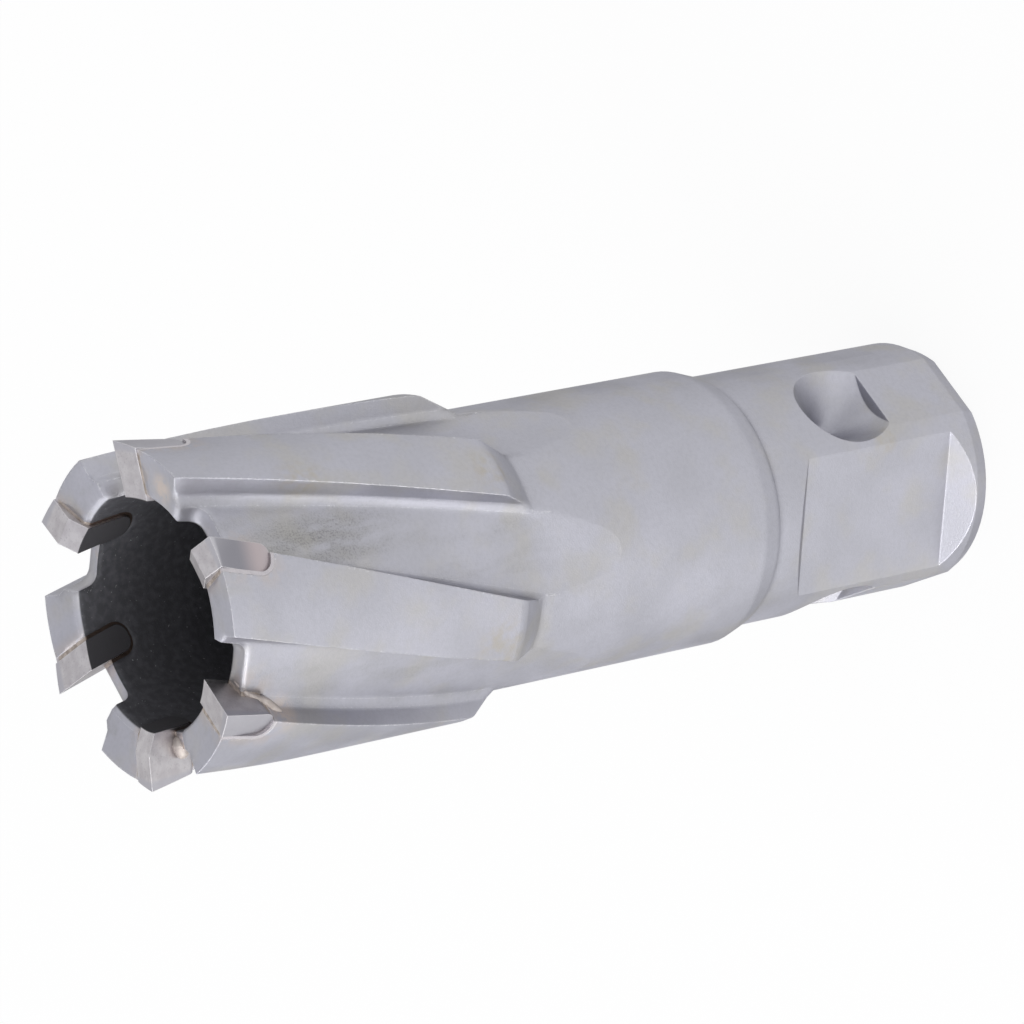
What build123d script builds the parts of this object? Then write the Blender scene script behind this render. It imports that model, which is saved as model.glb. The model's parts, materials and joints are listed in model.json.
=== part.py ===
from build123d import *
from math import asin, cos, degrees, radians, sin
import os

os.makedirs("parts", exist_ok=True)

# Driving dimensions in millimetres, with Z up the axis from the shank end to the teeth
shank_d = 19.05
shank_len = 20.75
cut_d = 25.0
slug_d = 16.7
overall_len = 71.8
land_len = 28.35
pilot_d = 8.0
tooth_count = 6

# Steps in radius between the surfaces
tip_stand_out = 0.4
tip_stand_in = 0.25
land_height = 1.72
shoulder_step = 0.32

shank_r = shank_d / 2
cut_r = cut_d / 2
slug_r = slug_d / 2
land_r = cut_r - tip_stand_out
bore_r = slug_r + tip_stand_in
body_r = land_r - land_height
pilot_r = pilot_d / 2
shoulder_r = shank_r + shoulder_step

# Stations along the axis
tip_stand_up = 0.45
crown_drop = 0.45
crown_bevel = 0.35
land_ramp = 2.85
land_rim_r = 1.5
shoulder_edge = 0.4
shoulder_len = 2.05
bore_floor_t = 0.7
bore_floor_bevel = 1.0

crown_z = overall_len - tip_stand_up
crown_bevel_z = crown_z - crown_drop
land_z0 = overall_len - land_len
shoulder_z = shank_len + shoulder_len
bore_floor_z = shoulder_z + bore_floor_t

# Shank end, set screw flats, ball dimples and their lead flats
end_chamfer = 0.53
end_chamfer_len = 1.3
pilot_chamfer = 0.6
screw_flat_depth = 1.7
screw_flat_z0 = 3.1
screw_flat_len = 14.0
screw_flat_dirs = (-90, 150)
dimple_dirs = (-30, -150, 90)
dimple_z = 11.35
dimple_mouth_r = 4.3
dimple_wall_z = 8.4
lead_flat_depth = 0.42
lead_flat_len = 9.2

# Tip plates and the solder round them
tooth_pitch = 360 / tooth_count
tip_dir = -49.7
tip_t = 2.05
tip_len = 4.55
tip_foot_r = 0.9
tip_tilt = 15
tip_relief = 0.14
tip_side_relief = 7
tip_back_taper = 4
tip_inner_drop = 0.65
tip_outer_drop = 0.1
tip_ridge_in = 2.6
solder_t = 0.28

# Gullets in front of the tips
gullet_ahead = 17
gullet_depth = 2.0
gullet_back = 2.8
gullet_front = 0.95
gullet_lean = 0.25
gullet_flare = 7
gullet_fillet = 0.7

# Flutes: the directions of their two edges at the teeth, and degrees of twist per millimetre
heel_dir = -18.5
heel_twist = 1.26
edge_dir = -46.2
edge_twist = 1.58
flute_depth = 0.55
flute_lean = 0.36
flute_corner = 0.4
runout_start = 0.4
runout_len = 6.8
runout_twist = 0.6
flute_sections = 18

# How far each cut runs past what it cuts
over = 2.0


def turned(angle):
    return Location((0, 0, 0), (0, 0, angle))


# Turned blank: shank, shoulder, body, lands, crown, slug bore and pilot hole
with BuildPart() as blank:
    with BuildSketch(Plane.XZ):
        with BuildLine():
            Polyline(
                (pilot_r, 0),
                (shank_r - end_chamfer, 0),
                (shank_r, end_chamfer_len),
                (shank_r, shank_len),
                (shoulder_r, shank_len + shoulder_edge),
                (body_r, shoulder_z),
                (body_r, land_z0),
                (land_r, land_z0 + land_ramp),
                (land_r, crown_z),
                (bore_r + crown_bevel, crown_bevel_z),
                (bore_r, crown_bevel_z - crown_bevel),
                (bore_r, bore_floor_z + bore_floor_bevel),
                (bore_r - bore_floor_bevel, bore_floor_z),
                (pilot_r, bore_floor_z),
                close=True,
            )
        make_face()
    revolve(axis=Axis.Z)
    chamfer(blank.edges().group_by(Axis.Z)[0].sort_by(SortBy.RADIUS)[0], length=pilot_chamfer)
    land_wall = blank.faces().filter_by(GeomType.CYLINDER).sort_by(lambda wall: wall.radius)[-1]
    fillet(land_wall.edges().group_by(Axis.Z)[0], radius=land_rim_r)

# Set screw flat, cut at +X: a flat with a 45 degree ramp at each end
screw_flat_x = shank_r - screw_flat_depth
ramp = screw_flat_depth + over
with BuildPart() as screw_flat:
    with BuildSketch(Plane.XZ):
        Polygon(
            (screw_flat_x, screw_flat_z0),
            (screw_flat_x, screw_flat_z0 + screw_flat_len),
            (screw_flat_x + ramp, screw_flat_z0 + screw_flat_len + ramp),
            (screw_flat_x + ramp, screw_flat_z0 - ramp),
            align=None,
        )
    extrude(amount=shank_r, both=True)

# Ball dimple, cut at +X: a cone with a straight wall on the side of the shank end
with BuildPart() as dimple:
    with BuildSketch(Plane.XZ):
        Polygon(
            (shank_r - dimple_mouth_r, dimple_z),
            (shank_r + over, dimple_z),
            (shank_r + over, dimple_z + dimple_mouth_r + over),
            align=None,
        )
    revolve(axis=Axis((0, 0, dimple_z), (1, 0, 0)))
    with BuildSketch(Plane.XY.offset(dimple_wall_z)):
        Rectangle(2 * cut_d, 2 * cut_d)
    extrude(amount=shank_len, mode=Mode.INTERSECT)

# Lead flat, cut at +X: a shallow flat from the shank end's chamfer into the dimple
lead_flat_x = shank_r - lead_flat_depth
with BuildPart() as lead_flat:
    with BuildSketch(Plane.XZ):
        Polygon(
            (lead_flat_x - end_chamfer, 0),
            (lead_flat_x, end_chamfer_len),
            (lead_flat_x, lead_flat_len),
            (shank_r + over, lead_flat_len),
            (shank_r + over, 0),
            align=None,
        )
    extrude(amount=shank_r, both=True)


def heel_at(z):
    """Direction of the flute's edge at the heel of the tooth ahead."""
    return heel_dir - heel_twist * (crown_z - z)


def edge_at(z):
    """Direction of the flute's edge behind the tip."""
    return edge_dir - edge_twist * (overall_len - z)


def flute_section(z):
    """Section of the flute: a flat floor between two leaning walls, shallower past the lands."""
    drop = max(0, runout_z - z)
    floor = body_r - flute_depth * (1 - drop / runout_len)
    half_angle = radians((heel_at(z) - edge_at(z)) / 2)
    half_width = land_r * sin(half_angle) - flute_lean * (land_r * cos(half_angle) - floor)
    turn_back = ((heel_twist + edge_twist) / 2 - runout_twist) * drop
    middle = radians((heel_at(z) + edge_at(z)) / 2 + turn_back)
    outer = cut_r + over
    half_top = half_width + flute_lean * (outer - floor)
    with BuildSketch(Plane((0, 0, z), x_dir=(cos(middle), sin(middle), 0))) as section:
        Polygon(
            (floor, -half_width + flute_corner),
            (floor + flute_corner, -half_width - flute_lean * flute_corner),
            (outer, -half_top),
            (outer, half_top),
            (floor + flute_corner, half_width + flute_lean * flute_corner),
            (floor, half_width - flute_corner),
            align=None,
        )
    return section.sketch


# Flute, lofted down its helix, which runs out into the body behind the lands
runout_z = land_z0 - runout_start
flute_top = overall_len + over
flute_step = (flute_top - runout_z + runout_len + over) / flute_sections
with BuildPart() as flute:
    loft([flute_section(flute_top - i * flute_step) for i in range(flute_sections + 1)])

# Gullet, cut at +X: a rounded notch through the wall that opens outward
gullet_r = bore_r - over
gullet_z = crown_z - gullet_depth
gullet_top = gullet_depth + over
with BuildPart() as gullet:
    with BuildSketch(Plane(origin=(gullet_r, 0, gullet_z), x_dir=(0, 1, 0), z_dir=(1, 0, 0))):
        with BuildLine():
            heel_top = (gullet_front + gullet_lean * gullet_top, gullet_top)
            Polyline(heel_top, (-gullet_back, gullet_top), (-gullet_back, 0))
            FilletPolyline((-gullet_back, 0), (gullet_front, 0), heel_top, radius=gullet_fillet)
        make_face()
    extrude(amount=cut_r + over - gullet_r, taper=-gullet_flare)

# Tips are made at +X: the plane of their outline, tilted about their top
lean_cos = cos(radians(tip_tilt))
tip_x_dir = (0, lean_cos, -sin(radians(tip_tilt)))
tip_plane = Plane(origin=(slug_r - over, 0, overall_len), x_dir=tip_x_dir, z_dir=(1, 0, 0))


def tip_outline(margin):
    """A plate with a rounded foot and a margin round it, seen along its radius."""
    with BuildSketch(tip_plane) as outline:
        with Locations((0, -tip_len / lean_cos - margin)):
            Rectangle(tip_t + 2 * margin, tip_len + 2 * over, align=(Align.CENTER, Align.MIN))
        fillet(outline.vertices().group_by(Axis.Y)[0], radius=tip_foot_r + margin)
    return outline.sketch


def below(*top_line):
    """What lies below the ground top of a tip, seen from its cutting face."""
    with BuildSketch(Plane.XZ.offset(-tip_t / lean_cos / 2)) as area:
        Polygon((slug_r - over, shank_len), (cut_r + over, shank_len), *top_line, align=None)
    return area.sketch


# Blank plate of a tip, and the slot for it and its solder
tip_reach = cut_r - slug_r + 2 * over
with BuildPart() as plate:
    extrude(tip_outline(0), amount=tip_reach)
with BuildPart() as slot:
    extrude(tip_outline(solder_t), amount=tip_reach)

# Plate trimmed to the two circles that it cuts: the outer one is turned about the cutting
# corner for side relief, and narrows towards the shank
corner_angle = degrees(asin(tip_t / lean_cos / 2 / cut_r))
cutting_corner = Rotation(0, 0, corner_angle) * Pos(cut_r, 0)
relief_turn = cutting_corner * Rotation(0, 0, -tip_side_relief) * Pos(-cut_r, 0)
with BuildPart() as trimmed:
    add(plate.part)
    with BuildSketch(Plane.XY.offset(overall_len)):
        with Locations(relief_turn):
            Circle(cut_r)
    extrude(amount=-overall_len, taper=tip_back_taper, mode=Mode.INTERSECT)
    with BuildSketch(Plane.XY):
        Circle(slug_r)
    extrude(amount=overall_len, mode=Mode.SUBTRACT)

# Tips of the odd teeth: the top is ground to a ridge, with relief behind the cutting edge
relief_dir = (0, 1, tip_relief)
grind_reach = tip_t + over
inner_z = overall_len - tip_inner_drop
outer_z = overall_len - tip_outer_drop
inner_line = ((slug_r, inner_z), (slug_r - over, inner_z))
with BuildPart() as ridge_tip:
    add(trimmed.part)
    ridge_line = ((cut_r + over, outer_z), (cut_r, outer_z), (cut_r - tip_ridge_in, overall_len))
    profile = below(*ridge_line, *inner_line)
    extrude(profile, amount=grind_reach, dir=relief_dir, both=True, mode=Mode.INTERSECT)

# Tips of the even teeth: the top slopes in one face towards the bore
with BuildPart() as slope_tip:
    add(trimmed.part)
    slope_line = ((cut_r + over, overall_len), (cut_r, overall_len))
    profile = below(*slope_line, *inner_line)
    extrude(profile, amount=grind_reach, dir=relief_dir, both=True, mode=Mode.INTERSECT)

# Body with flutes, gullets and shank features, before its slots
with BuildPart() as core:
    add(blank.part)
    with PolarLocations(0, tooth_count):
        add(flute.part, mode=Mode.SUBTRACT)
    with PolarLocations(0, tooth_count, start_angle=tip_dir + gullet_ahead):
        add(gullet.part, mode=Mode.SUBTRACT)
    with Locations(*[turned(angle) for angle in screw_flat_dirs]):
        add(screw_flat.part, mode=Mode.SUBTRACT)
    with Locations(*[turned(angle) for angle in dimple_dirs]):
        add(dimple.part, mode=Mode.SUBTRACT)
        add(lead_flat.part, mode=Mode.SUBTRACT)

# Solder seam, made at the first tooth: what the slot leaves round its tip inside the body
with BuildPart() as seam:
    with Locations(turned(tip_dir)):
        add(slot.part)
        add(plate.part, mode=Mode.SUBTRACT)
    add(core.part, mode=Mode.INTERSECT)

with BuildPart() as cutter_body:
    add(core.part)
    with PolarLocations(0, tooth_count, start_angle=tip_dir):
        add(slot.part, mode=Mode.SUBTRACT)
cutter_body.part.label = "cutter_body"
export_step(cutter_body.part, "parts/cutter_body.step")

for tooth in range(tooth_count):
    tip = (ridge_tip, slope_tip)[tooth % 2]
    carbide_tip = tip.part.moved(turned(tip_dir + tooth * tooth_pitch))
    carbide_tip.label = f"carbide_tip_{tooth + 1}"
    export_step(carbide_tip, f"parts/carbide_tip_{tooth + 1}.step")
    solder_seam = seam.part.moved(turned(tooth * tooth_pitch))
    solder_seam.label = f"solder_seam_{tooth + 1}"
    export_step(solder_seam, f"parts/solder_seam_{tooth + 1}.step")
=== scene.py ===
"""Looks of a carbide tipped annular cutter that stands on its shank end, teeth up."""
import json
import math

import bmesh
import bpy
import numpy as np
from mathutils import Matrix, Vector

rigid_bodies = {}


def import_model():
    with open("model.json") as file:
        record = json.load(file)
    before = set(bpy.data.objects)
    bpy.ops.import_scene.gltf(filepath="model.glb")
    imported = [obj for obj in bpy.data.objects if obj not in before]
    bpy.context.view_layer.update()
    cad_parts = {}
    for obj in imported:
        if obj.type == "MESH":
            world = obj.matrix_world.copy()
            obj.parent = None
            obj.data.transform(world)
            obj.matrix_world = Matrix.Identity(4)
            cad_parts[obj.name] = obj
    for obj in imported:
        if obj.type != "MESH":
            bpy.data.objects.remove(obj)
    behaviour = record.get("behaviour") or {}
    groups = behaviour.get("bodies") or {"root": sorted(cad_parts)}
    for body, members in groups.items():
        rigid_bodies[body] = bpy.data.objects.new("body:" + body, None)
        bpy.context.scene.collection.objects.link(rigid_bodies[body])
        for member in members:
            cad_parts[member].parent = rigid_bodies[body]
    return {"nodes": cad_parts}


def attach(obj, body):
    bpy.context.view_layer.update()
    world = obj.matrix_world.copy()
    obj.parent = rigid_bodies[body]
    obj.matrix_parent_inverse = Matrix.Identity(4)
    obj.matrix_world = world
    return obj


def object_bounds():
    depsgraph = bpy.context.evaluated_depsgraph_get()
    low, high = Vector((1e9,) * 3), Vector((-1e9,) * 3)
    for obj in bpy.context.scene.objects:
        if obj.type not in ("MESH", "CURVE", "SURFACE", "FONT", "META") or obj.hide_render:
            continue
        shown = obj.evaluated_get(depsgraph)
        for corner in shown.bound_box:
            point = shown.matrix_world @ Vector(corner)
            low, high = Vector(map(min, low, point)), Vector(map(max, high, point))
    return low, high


# Blender opens with a cube, a lamp and a camera, which are no part of the cutter.
for leftover in list(bpy.data.objects):
    bpy.data.objects.remove(leftover)
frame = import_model()
cad_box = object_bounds()


# Cutter body: one bar of tool steel, turned, bored and milled, then hardened and bead
# blasted, which leaves a fine satin grey without tool marks. The slug bore is drawn near
# black by painted shade, the flutes are pitted, and milled edges keep small bright burrs
# with a painted highlight along them.
face_up = 1000 * cad_box[1][2]  # heights in millimetres above the shank end
tip_foot_up = 67.2
shoulder_up = 22.8
flute_end_up = 38.0
bore_r = 8.6  # radii in millimetres
flute_floor_r = 10.3
tip_1_direction = math.radians(-49.7)
tooth_pitch = math.radians(60)
helix_lean = math.radians(15)
edge_on_grey = "#a8a8a8"  # a blasted or ground metal glares less where it is seen edge on


def linear(hex_colour):
    """An sRGB hex colour as linear red, green, blue and alpha."""
    channels = np.array([int(hex_colour[i : i + 2], 16) for i in (1, 3, 5)]) / 255
    low = channels / 12.92
    high = ((channels + 0.055) / 1.055) ** 2.4
    return (*np.where(channels <= 0.04045, low, high), 1.0)


def add(tree, kind, inputs=(), **settings):
    """Adds a node, makes its settings and fills its live inputs, in their order or by name.

    Each input is a node, whose first live output is linked, an output, a hex colour or a value.
    """
    node = tree.nodes.new("ShaderNode" + kind)
    for name, value in settings.items():
        setattr(node, name, value)
    sockets = [socket for socket in node.inputs if socket.enabled]
    if isinstance(inputs, dict):
        sockets = [node.inputs[name] for name in inputs]
        inputs = inputs.values()
    for socket, value in zip(sockets, inputs):
        if isinstance(value, bpy.types.Node):
            value = next(output for output in value.outputs if output.enabled)
        if isinstance(value, bpy.types.NodeSocket):
            tree.links.new(value, socket)
        else:
            socket.default_value = linear(value) if isinstance(value, str) else value
    return node


def new_material(name):
    """An empty node material and its tree."""
    material = bpy.data.materials.new(name)
    material.use_nodes = True
    material.node_tree.nodes.clear()
    return material, material.node_tree


def place_in_mm(tree):
    """The place on the cutter in millimetres, from Object coordinates."""
    coordinates = add(tree, "TexCoord").outputs["Object"]
    return add(tree, "VectorMath", (coordinates, 1000), operation="SCALE")


def axis_radius(tree, place):
    """Distance from the cutter's axis in millimetres."""
    flat = add(tree, "VectorMath", (place, (1, 1, 0)), operation="MULTIPLY")
    return add(tree, "VectorMath", (flat,), operation="LENGTH")


def overlap(tree, *shares):
    """The product of several shares, which is 1 only where all of them are."""
    product = shares[0]
    for share in shares[1:]:
        product = add(tree, "Math", (product, share), operation="MULTIPLY")
    return product


def zone(tree, *limits):
    """1 inside all limits; each is a value, where it starts to count and where it counts fully."""
    steps = [add(tree, "MapRange", limit, interpolation_type="SMOOTHSTEP") for limit in limits]
    return overlap(tree, *steps)


def mottled(tree, place, size, start, end, detail=4.0):
    """Patches about size millimetres across: a noise that counts from start and fully from end."""
    return zone(tree, (add(tree, "TexNoise", (place, 1 / size, detail)), start, end))


def overlay(tree, colour, shade, *shares):
    """The colour with a shade laid over it, by the product of the shares."""
    return add(tree, "Mix", (overlap(tree, *shares), colour, shade), data_type="RGBA")


def edge_wear_and_highlight(tree, width):
    """1 on convex and concave edges within width millimetres, 0 on open faces."""
    rounded = add(tree, "Bevel", (width / 1000,), samples=6)
    plain = add(tree, "NewGeometry").outputs["Normal"]
    match = add(tree, "VectorMath", (rounded, plain), operation="DOT_PRODUCT")
    return zone(tree, (match, 0.995, 0.9))


def near(tree, place, centre, reach):
    """1 about a centre in millimetres, falling to 0 at reach."""
    gap = add(tree, "VectorMath", (place, centre), operation="DISTANCE")
    return zone(tree, (gap, reach, 0.2 * reach))


def beside_tip(tree, place, radius, up):
    """Millimetres ahead of the nearest tip's middle along the arc, and above the tips' feet."""
    flat = add(tree, "SeparateXYZ", (place,)).outputs
    turn = add(tree, "Math", (flat["Y"], flat["X"]), operation="ARCTAN2")

    # The turn from tip 1 is kept above 0, and then wrapped to half a pitch on either side
    from_tip_1 = 2 * math.pi - tip_1_direction + tooth_pitch / 2
    shifted = add(tree, "Math", (turn, from_tip_1), operation="ADD")
    wrapped = add(tree, "Math", (shifted, tooth_pitch), operation="MODULO")
    turned = add(tree, "Math", (wrapped, tooth_pitch / 2), operation="SUBTRACT")

    # The tips lean with the helix, which is followed over this depth below the face
    depth = 10.0
    lean = depth * math.tan(helix_lean)
    shift = add(tree, "MapRange", (up, face_up - depth, face_up, lean, 0.0))
    ahead = add(tree, "Math", (turned, radius, shift), operation="MULTIPLY_ADD")
    foot_gap = add(tree, "Math", (up, tip_foot_up), operation="SUBTRACT")
    return ahead, foot_gap


def surface(tree, sockets):
    """Joins a principled shader with these inputs to the material's surface."""
    add(tree, "OutputMaterial", (add(tree, "BsdfPrincipled", sockets),))


def blasted_tool_steel():
    """Hardened tool steel, bead blasted: satin grey clouds with a fine grain, painted highlights on the
    edges, and painted shade that makes the bore near black.
    """
    material, tree = new_material("blasted_tool_steel")
    place = place_in_mm(tree)
    radius = axis_radius(tree, place)
    up = add(tree, "SeparateXYZ", (place,)).outputs["Z"]

    # Clouds of two greys and a warmer one, as scale and oil leave them, and fine dark specks
    clouds = mottled(tree, place, 5.0, 0.3, 0.7, detail=5.0)
    colour = overlay(tree, "#b7b7bf", "#bebec7", clouds)
    colour = overlay(tree, colour, "#bdbab2", mottled(tree, place, 4.0, 0.46, 0.7), 0.45)
    colour = overlay(tree, colour, "#94949b", mottled(tree, place, 0.3, 0.35, 0.75, detail=6.0), 0.13)

    # Flutes: long darker patches with pits 0.1 to 0.2 mm across, the largest in front of tooth 1
    along = add(tree, "VectorMath", (place, (1, 1, 0.35)), operation="MULTIPLY")
    in_flute = zone(tree, (radius, 10.9, flute_floor_r), (up, flute_end_up, 46.0))
    patches = overlap(tree, mottled(tree, along, 1.6, 0.45, 0.72, detail=5.0), in_flute, 0.3)
    by_tooth_1 = near(tree, along, (6.2, -7.6, 21.6), 3.4)
    dark_patch_by_tooth_1 = overlap(tree, by_tooth_1, mottled(tree, along, 1.2, 0.25, 0.6, detail=5.0))
    patches = add(tree, "Math", (patches, dark_patch_by_tooth_1), operation="MAXIMUM")
    patches = overlap(tree, patches, in_flute)
    colour = overlay(tree, colour, "#97958f", patches, 0.5)
    pitted = overlap(tree, mottled(tree, place, 0.14, 0.45, 0.7), patches)
    colour = overlay(tree, colour, "#78777a", pitted, 0.45)

    # Edges: bright where burrs and handling have rubbed them, and along them a painted highlight, least on
    # the shank
    rubbed = add(tree, "MapRange", (up, 22.0, 34.0, 0.2, 1.0))
    burrs_and_painted_highlight = overlap(tree, edge_wear_and_highlight(tree, 0.12), mottled(tree, place, 0.35, 0.35, 0.6, detail=3.0))
    burrs_and_painted_highlight = overlap(tree, burrs_and_painted_highlight, mottled(tree, place, 2.5, 0.3, 0.6, detail=2.0), rubbed)
    colour = overlay(tree, colour, "#e6e6ea", burrs_and_painted_highlight, 0.8)
    beads = overlap(tree, edge_wear_and_highlight(tree, 0.4), mottled(tree, place, 0.18, 0.62, 0.68, detail=1.0))
    beads = overlap(tree, beads, rubbed)
    colour = overlay(tree, colour, "#e9e9ec", beads, 0.6)

    # Yellow stains: one on the screw side of the shank, three on the lands
    stains = (
        ((5.65, -7.66, 9.5), 1.5),
        ((-2.4, -11.9, 48.0), 3.2),
        ((9.3, -7.7, 46.8), 2.4),
        ((10.5, -6.0, 62.0), 2.6),
    )
    for centre, reach in stains:
        stain = mottled(tree, place, 0.9, 0.35, 0.7)
        colour = overlay(tree, colour, "#b5a98a", near(tree, place, centre, reach), stain, 0.4)

    # Beside the tips: a beige haze of flux and heat, strongest in the gullets in front of them
    ahead, foot_gap = beside_tip(tree, place, radius, up)
    by_tip = zone(tree, (ahead, 4.4, 1.6), (ahead, -2.6, -1.3), (foot_gap, -1.6, 0.4))
    haze = mottled(tree, place, 1.1, 0.38, 0.62, detail=3.0)
    colour = overlay(tree, colour, "#c8b8aa", by_tip, haze, 0.3)

    # A film of braze on the crown behind tip 2, in the gullet of tip 6 and in front of tip 5
    films = (
        ((10.05, -2.0, 71.1), 1.5),
        ((-4.8, -10.0, 65.6), 1.8),
        ((-9.3, -2.9, 69.0), 1.3),
    )
    for centre, reach in films:
        film = mottled(tree, place, 0.6, 0.3, 0.55)
        colour = overlay(tree, colour, "#dacdc3", near(tree, place, centre, reach), film, 0.7)

    # The slug bore: painted shade makes it near black, with a few painted glints
    in_bore = zone(tree, (radius, bore_r + 0.12, bore_r + 0.02), (up, shoulder_up - 0.2, shoulder_up + 0.1))
    painted_bore_shade_and_glints = overlay(tree, "#4b4b4f", "#5b5b60", mottled(tree, place, 0.5, 0.35, 0.75))
    painted_bore_shade_and_glints = overlay(tree, painted_bore_shade_and_glints, "#a9a9ac", mottled(tree, place, 0.2, 0.73, 0.77, detail=1.0), 0.6)
    colour = overlay(tree, colour, painted_bore_shade_and_glints, in_bore)

    # Relief: the blasted grain, near 0.05 mm in truth, is drawn at 0.12 mm so that it shows,
    # with shallow waves, the pits and the beads on the edges
    relief = add(tree, "TexNoise", (place, 1 / 0.12, 2.0))
    waves = add(tree, "TexNoise", (place, 1 / 1.6, 3.0))
    for part, share in ((waves, 0.8), (pitted, -1.6), (beads, 2.0)):
        relief = add(tree, "Math", (part, share, relief), operation="MULTIPLY_ADD")

    # The real corners of the flutes and at the shoulder are round, which the shading follows
    flute_corner = zone(tree, (radius, 11.3, 10.6), (up, flute_end_up, 42.0))
    shoulder = zone(tree, (up, 19.0, 20.0), (up, 24.0, 23.0))
    corner = add(tree, "Math", (flute_corner, shoulder), operation="MAXIMUM")
    softness = add(tree, "MapRange", (corner, 0.0, 1.0, 0.00015, 0.0008))
    soft = add(tree, "Bevel", (softness,), samples=8)
    bump = {"Strength": 0.35, "Distance": 0.00004, "Height": relief, "Normal": soft}
    sockets = {
        "Base Color": colour,
        "Metallic": add(tree, "MapRange", (in_bore, 0.0, 1.0, 1.0, 0.1)),
        "Roughness": add(tree, "MapRange", (clouds, 0.0, 1.0, 0.46, 0.54)),
        "Specular Tint": edge_on_grey,
        "Normal": add(tree, "Bump", bump),
    }
    surface(tree, sockets)
    return material


def finish_node(name, material):
    """Gives a CAD node's material slots their finish."""
    for slot in frame["nodes"][name].material_slots:
        slot.material = material


finish_node("cutter_body", blasted_tool_steel())


# Carbide tips: six plates of sintered tungsten carbide, brazed in and then ground with a
# diamond wheel, so they are warmer and smoother than the body, with fine scratches.
slug_r = 8.35  # radii in millimetres
outside_from, outside_full = 11.6, 12.0


def ground_carbide():
    """Sintered carbide, ground: warm grey and mottled, with painted highlights on the edges and painted
    shade in the bore and on tip 1's outer face.
    """
    material, tree = new_material("ground_carbide")
    place = place_in_mm(tree)
    radius = axis_radius(tree, place)
    up = add(tree, "SeparateXYZ", (place,)).outputs["Z"]
    mottle = mottled(tree, place, 0.9, 0.35, 0.68, detail=5.0)
    colour = overlay(tree, "#c2bec1", "#d1ced0", mottle)
    specks = mottled(tree, place, 0.16, 0.55, 0.72, detail=3.0)
    colour = overlay(tree, colour, "#969195", specks, 0.35)

    # The outer faces are blasted with the body. On that of tip 1 a painted shade darkens the upper part,
    # and its foot is pinkish
    outside = zone(tree, (radius, outside_from, outside_full))
    colour = overlay(tree, colour, "#bcbbc2", outside, 0.8)
    painted_shade_and_pink_foot = zone(tree, (radius, outside_from, 11.8), (up, 71.5, 71.2))
    by_tip_1 = near(tree, place, (7.1, -9.8, 69.5), 5.0)
    shade = overlay(tree, "#8f8e95", "#b6abad", zone(tree, (up, 69.9, 68.0)))
    colour = overlay(tree, colour, shade, painted_shade_and_pink_foot, by_tip_1)

    # Painted highlight: the ground edges are drawn bright
    colour = overlay(tree, colour, "#eae9ea", edge_wear_and_highlight(tree, 0.1), 0.6)
    # Painted shade: the side in the bore is drawn near black
    in_bore = zone(tree, (radius, slug_r + 0.07, slug_r + 0.03))
    colour = overlay(tree, colour, "#454447", in_bore)

    # The wheel's lines lie across the tips, 0.07 mm apart
    flattened = add(tree, "VectorMath", (place, (1, 1, 12)), operation="MULTIPLY")
    scratches = add(tree, "TexNoise", (flattened, 1 / 0.8, 3.0))
    soft = add(tree, "Bevel", (0.00008,), samples=6)
    bump = {"Strength": 0.25, "Distance": 0.00003, "Height": scratches, "Normal": soft}
    sockets = {
        "Base Color": colour,
        "Metallic": add(tree, "MapRange", (in_bore, 0.0, 1.0, 1.0, 0.1)),
        "Roughness": 0.42,
        "Specular Tint": edge_on_grey,
        "Normal": add(tree, "Bump", bump),
    }
    surface(tree, sockets)
    return material


carbide = ground_carbide()
for tooth in range(1, 7):
    finish_node(f"carbide_tip_{tooth}", carbide)


# Solder seams: silver brazing alloy that was drawn in round each tip when it was brazed.
# It dulls to a brown beige, and the flux and heat leave it uneven.
def dull_braze():
    """Silver braze after blasting: brown beige and uneven, grey outside, and drawn dark in the bore by
    painted shade.
    """
    material, tree = new_material("dull_silver_braze")
    place = place_in_mm(tree)
    radius = axis_radius(tree, place)
    mottle = mottled(tree, place, 0.5, 0.35, 0.65)
    colour = overlay(tree, "#958b83", "#b9aea6", mottle)
    colour = overlay(tree, colour, "#c3c0c6", zone(tree, (radius, outside_from, outside_full)), 0.8)
    # Painted shade: the seam in the bore is drawn dark
    colour = overlay(tree, colour, "#5e5048", zone(tree, (radius, bore_r + 0.12, bore_r + 0.02)))
    normal = add(tree, "Bump", {"Strength": 0.4, "Distance": 0.00005, "Height": mottle})
    surface(tree, {"Base Color": colour, "Metallic": 0.8, "Roughness": 0.5, "Normal": normal})
    return material


braze = dull_braze()
for tooth in range(1, 7):
    finish_node(f"solder_seam_{tooth}", braze)


# Runs of braze: spilled solder that froze in the gullets, one along the front of tip 6 and
# one lump at the foot of tip 5. It is paler than the seams and more matt than the blasted steel.
def fresh_braze():
    """Silver braze that froze freely: a pale beige grey, matt and uneven."""
    material, tree = new_material("fresh_silver_braze")
    place = place_in_mm(tree)
    mottle = mottled(tree, place, 0.6, 0.35, 0.65, detail=3.0)
    colour = overlay(tree, "#b3aaa5", "#c4bcb7", mottle)
    normal = add(tree, "Bump", {"Strength": 0.5, "Distance": 0.00006, "Height": mottle})
    surface(tree, {"Base Color": colour, "Metallic": 0.85, "Roughness": 0.62, "Normal": normal})
    return material


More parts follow.
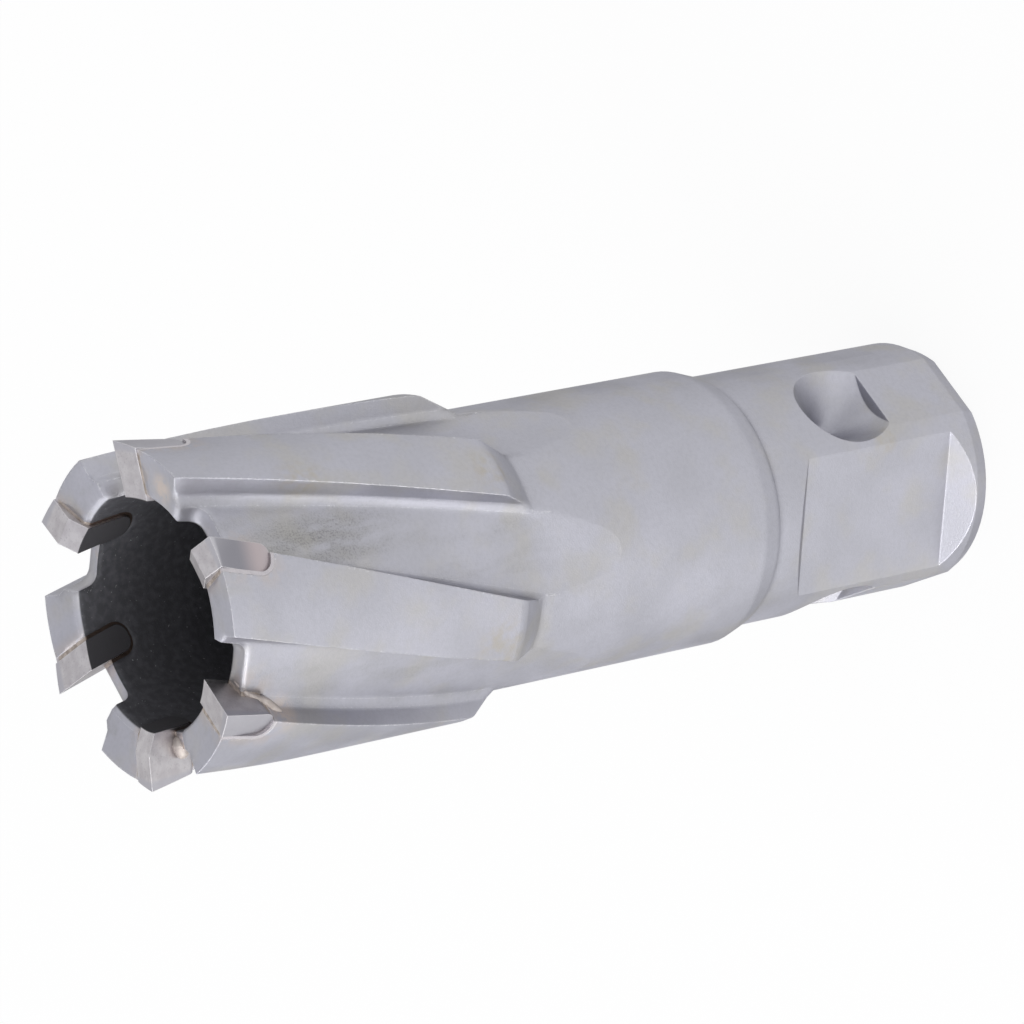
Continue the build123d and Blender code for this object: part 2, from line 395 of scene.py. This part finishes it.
def braze_run(name, path, radii, material):
    """A closed tube about a path p(u) in millimetres: p(u) + r(u) (cos v side + sin v other).

    side is level and square to the path, other is square to both, and r(u) falls to 0 at the ends.
    """
    rows, count = 25, 16
    steps = np.linspace(0, 1, rows)
    stations = np.linspace(0, 1, len(path))
    centre = np.stack([np.interp(steps, stations, line) for line in zip(*path)], axis=1)
    radius = np.interp(steps, stations, radii) * np.sqrt(1 - (2 * steps - 1) ** 4)
    tangent = np.gradient(centre, axis=0)
    side = np.cross(tangent, (0, 0, 1))
    side /= np.linalg.norm(side, axis=1)[:, None]
    other = np.cross(side, tangent)
    other /= np.linalg.norm(other, axis=1)[:, None]
    turn = np.linspace(0, 2 * np.pi, count, endpoint=False)[None, :, None]
    outward = np.cos(turn) * side[:, None] + np.sin(turn) * other[:, None]
    rings = centre[:, None] + radius[:, None, None] * outward
    inner = rings[1:-1].reshape(-1, 3)
    vertices = np.vstack([inner, centre[:1], centre[-1:]]) / 1000

    # Quads between the rings, and triangles to the two poles that close the ends
    last = len(inner) - count
    here = np.arange(last).reshape(-1, count)
    beside = np.roll(here, -1, axis=1)
    quads = np.stack([here, beside, beside + count, here + count], axis=-1).reshape(-1, 4)
    ring = np.arange(count)
    following = np.roll(ring, -1)
    start = np.stack([np.full(count, len(inner)), following, ring], axis=1)
    end = np.stack([np.full(count, len(inner) + 1), last + ring, last + following], axis=1)
    mesh = bpy.data.meshes.new(name)
    mesh.from_pydata(vertices.tolist(), [], quads.tolist() + start.tolist() + end.tolist())
    shell = bmesh.new()
    shell.from_mesh(mesh)
    bmesh.ops.recalc_face_normals(shell, faces=shell.faces)
    shell.to_mesh(mesh)
    shell.free()
    mesh.shade_smooth()
    mesh.materials.append(material)
    run = bpy.data.objects.new(name, mesh)
    bpy.context.collection.objects.link(run)
    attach(run, "root")


spill = fresh_braze()
front_of_tip_6 = [
    (-2.1, -8.5, 69.0),
    (-2.5, -9.2, 68.95),
    (-3.05, -9.5, 68.5),
    (-3.55, -9.48, 67.67),
    (-4.0, -9.57, 66.82),
    (-4.62, -9.7, 66.15),
    (-5.05, -9.95, 65.5),
]
braze_run("braze_run_6", front_of_tip_6, (0.1, 0.16, 0.2, 0.26, 0.36, 0.42, 0.3), spill)
foot_of_tip_5 = [(-8.7, -2.15, 68.8), (-9.4, -2.3, 68.85), (-10.4, -2.45, 68.6)]
braze_run("braze_run_5", foot_of_tip_5, (0.45, 0.6, 0.5), spill)


# Floor: a white studio sheet that the cutter stands on. To the camera and in the metal it
# shows as white paper, and a part of it stays matt, so that it keeps a soft shadow.
def studio_sheet(half, white_share):
    """A square floor at the height 0: x and y run from -half to half metres."""
    corners = [(-half, -half, 0), (half, -half, 0), (half, half, 0), (-half, half, 0)]
    mesh = bpy.data.meshes.new("studio_sheet")
    mesh.from_pydata(corners, [], [(0, 1, 2, 3)])
    sheet = bpy.data.objects.new("studio_sheet", mesh)
    bpy.context.collection.objects.link(sheet)
    material, tree = new_material("white_paper")
    matt = add(tree, "BsdfDiffuse", {"Color": "#f4f4f4"})
    white = add(tree, "Emission", {"Color": "#ffffff", "Strength": 1.0})
    ray = add(tree, "LightPath").outputs
    seen = add(tree, "Math", (ray["Is Camera Ray"], ray["Is Glossy Ray"]), operation="MAXIMUM")
    seen = add(tree, "Math", (seen, ray["Is Transmission Ray"]), operation="MAXIMUM")
    paper = add(tree, "MixShader", (overlap(tree, seen, white_share), matt, white))
    add(tree, "OutputMaterial", (paper,))
    mesh.materials.append(material)


studio_sheet(half=3.0, white_share=0.9)


# Light: a pale room and five soft boxes. Three stand on the side that lies below the cutter
# in the picture, the low one strongest, one stands beside the camera and one hangs overhead.
def pale_room():
    """The world: white at the horizon and grey overhead."""
    world = bpy.data.worlds.new("pale_room")
    bpy.context.scene.world = world
    world.use_nodes = True
    tree = world.node_tree
    tree.nodes.clear()
    direction = add(tree, "TexCoord").outputs["Generated"]
    upward = add(tree, "SeparateXYZ", (direction,)).outputs["Z"]
    tone = overlay(tree, "#ffffff", "#a0a0a6", zone(tree, (upward, 0.45, 0.95)))
    add(tree, "OutputWorld", (add(tree, "Background", {"Color": tone, "Strength": 1.0}),))


def soft_box(name, place, size, watts):
    """A square lamp at a place in metres that looks at the middle of the cutter."""
    lamp = bpy.data.lights.new(name, "AREA")
    lamp.size = size
    lamp.energy = watts
    box = bpy.data.objects.new(name, lamp)
    bpy.context.collection.objects.link(box)
    aim = Vector((0, 0, 0.036)) - Vector(place)
    box.matrix_world = Matrix.Translation(place) @ aim.to_track_quat("-Z", "Y").to_matrix().to_4x4()


pale_room()
soft_box("low_soft_box", (-0.45, -0.9, 0.12), 0.6, 5.4)
soft_box("left_soft_box", (-0.95, 0.35, 0.2), 0.8, 3.4)
soft_box("side_soft_box", (-0.85, -0.45, 0.35), 1.0, 2.8)
soft_box("front_soft_box", (-0.15, -0.75, 0.75), 0.8, 1.1)
soft_box("top_soft_box", (0.0, 0.05, 1.1), 0.8, 1.6)


# Camera: the photograph's, rolled so that the standing cutter lies as in the picture.
def photo_camera():
    """Places the camera by its three axes; right and upward are those of the picture."""
    place = (0.13832, -0.30398, 0.27793)
    right = Vector((0.05888, -0.60107, -0.79702))
    upward = Vector((0.94157, 0.29868, -0.15569))
    back = right.cross(upward)
    camera = bpy.data.cameras.new("photo_camera")
    camera.lens = 196.9
    camera.sensor_width = 36
    holder = bpy.data.objects.new("photo_camera", camera)
    bpy.context.collection.objects.link(holder)
    turn = Matrix((right, upward, back)).transposed().to_4x4()
    holder.matrix_world = Matrix.Translation(place) @ turn
    bpy.context.scene.camera = holder


photo_camera()
bpy.context.scene.view_settings.view_transform = "Standard"
